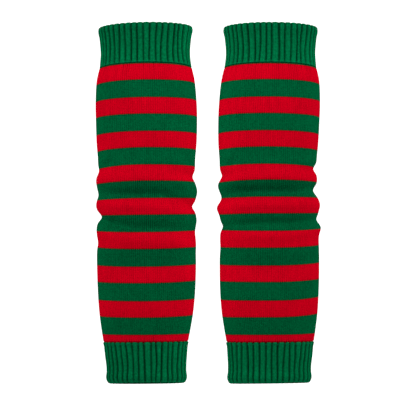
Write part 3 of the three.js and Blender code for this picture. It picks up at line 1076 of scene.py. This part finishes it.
def make_cove():
    """A round pale floor that sweeps up into a wall all the way round."""
    profile = [(0.0, 0.0)]
    for step in range(13):
        turn = math.pi / 2 * step / 12
        out = COVE_RADIUS - COVE_BEND + COVE_BEND * math.sin(turn)
        profile.append((out, COVE_BEND - COVE_BEND * math.cos(turn)))
    profile.append((COVE_RADIUS, COVE_HEIGHT))
    points = [(0.0, 0.0, FLOOR_LEVEL)]
    for out, up in profile[1:]:
        for side in range(COVE_SIDES):
            turn = 2 * math.pi * side / COVE_SIDES
            points.append((out * math.cos(turn), out * math.sin(turn), FLOOR_LEVEL + up))
    faces = []
    for side in range(COVE_SIDES):
        after = (side + 1) % COVE_SIDES
        faces.append((0, 1 + side, 1 + after))
        for ring in range(len(profile) - 2):
            low = 1 + ring * COVE_SIDES
            high = low + COVE_SIDES
            faces.append((low + side, high + side, high + after, low + after))
    mesh = bpy.data.meshes.new("cove")
    mesh.from_pydata(points, [], faces)
    mesh.polygons.foreach_set("use_smooth", [True] * len(mesh.polygons))
    mesh.materials.append(cove_material())
    cove = bpy.data.objects.new("cove", mesh)
    bpy.context.collection.objects.link(cove)


def add_light(name, place, size, power, aim=LIGHTS_AIM, height=None):
    """A soft square light, or a tall one if it has a height, unseen by the camera."""
    light = bpy.data.lights.new(name, "AREA")
    light.shape = "RECTANGLE" if height else "SQUARE"
    light.size = size
    light.size_y = height or size
    light.energy = power
    lamp = bpy.data.objects.new(name, light)
    lamp.location = place
    way = Vector(aim) - Vector(place)
    lamp.rotation_euler = way.to_track_quat("-Z", "Y").to_euler()
    lamp.visible_camera = False
    bpy.context.collection.objects.link(lamp)


class KNIT_OT_stage(bpy.types.Operator):
    """Make the pale cove, the soft studio light and the camera"""

    bl_idname = "knit.stage"
    bl_label = "Stage"

    def execute(self, context):
        make_cove()
        for light in SOFTBOXES:
            add_light(light["name"], (light["x"], light["y"], light["z"]), light["size"], light["power"])
        # Two tall lights stand back to back and edge on in the gap, and light the sides of the
        # two warmers that face each other.
        for side, name in ((-1, "gap light left"), (1, "gap light right")):
            place = (GAP_LIGHT_OFFSET * side, GAP_LIGHT_BACK, GAP_LIGHT_CENTRE)
            aim = (side, GAP_LIGHT_BACK, GAP_LIGHT_CENTRE)
            add_light(name, place, GAP_LIGHT_WIDTH, GAP_LIGHT_POWER, aim, GAP_LIGHT_HEIGHT)
        world = bpy.data.worlds.new("studio")
        world.use_nodes = True
        backing = world.node_tree.nodes["Background"]
        backing.inputs["Color"].default_value = (1, 1, 1, 1)
        backing.inputs["Strength"].default_value = SKY_STRENGTH
        context.scene.world = world
        lens = bpy.data.cameras.new("camera")
        lens.sensor_width = CAMERA_SENSOR
        lens.lens = CAMERA_SENSOR * CAMERA_DISTANCE / PICTURE_WIDTH
        camera = bpy.data.objects.new("camera", lens)
        camera.location = (0.0, -CAMERA_DISTANCE, CAMERA_HEIGHT)
        camera.rotation_euler = (math.pi / 2, 0, 0)
        context.collection.objects.link(camera)
        context.scene.camera = camera
        context.scene.view_settings.view_transform = "Standard"
        return {"FINISHED"}


class KNIT_PT_panel(bpy.types.Panel):
    """Lists the sizes, the yarns and the steps"""

    bl_idname = "KNIT_PT_panel"
    bl_label = "Leg Warmers"
    bl_space_type = "VIEW_3D"
    bl_region_type = "UI"
    bl_category = "Knitwear"

    def draw(self, context):
        for group in (context.scene.knit_sizes, context.scene.knit_colours):
            column = self.layout.column()
            for name in group.bl_rna.properties.keys():
                if name not in ("rna_type", "name"):
                    column.prop(group, name)
        for step in STEPS:
            self.layout.operator(step.bl_idname)


STEPS = (KNIT_OT_stage, KNIT_OT_calf_welts, KNIT_OT_legs, KNIT_OT_ankle_welts)
CLASSES = (KnitSizes, KnitColours, *STEPS, KNIT_PT_panel)


def register():
    for made in CLASSES:
        bpy.utils.register_class(made)
    bpy.types.Scene.knit_sizes = bpy.props.PointerProperty(type=KnitSizes)
    bpy.types.Scene.knit_colours = bpy.props.PointerProperty(type=KnitColours)


def unregister():
    del bpy.types.Scene.knit_colours
    del bpy.types.Scene.knit_sizes
    for made in reversed(CLASSES):
        bpy.utils.unregister_class(made)


def main():
    register()
    bpy.ops.knit.stage()
    bpy.ops.knit.calf_welts()
    bpy.ops.knit.legs()
    bpy.ops.knit.ankle_welts()


if __name__ == "__main__":
    main()
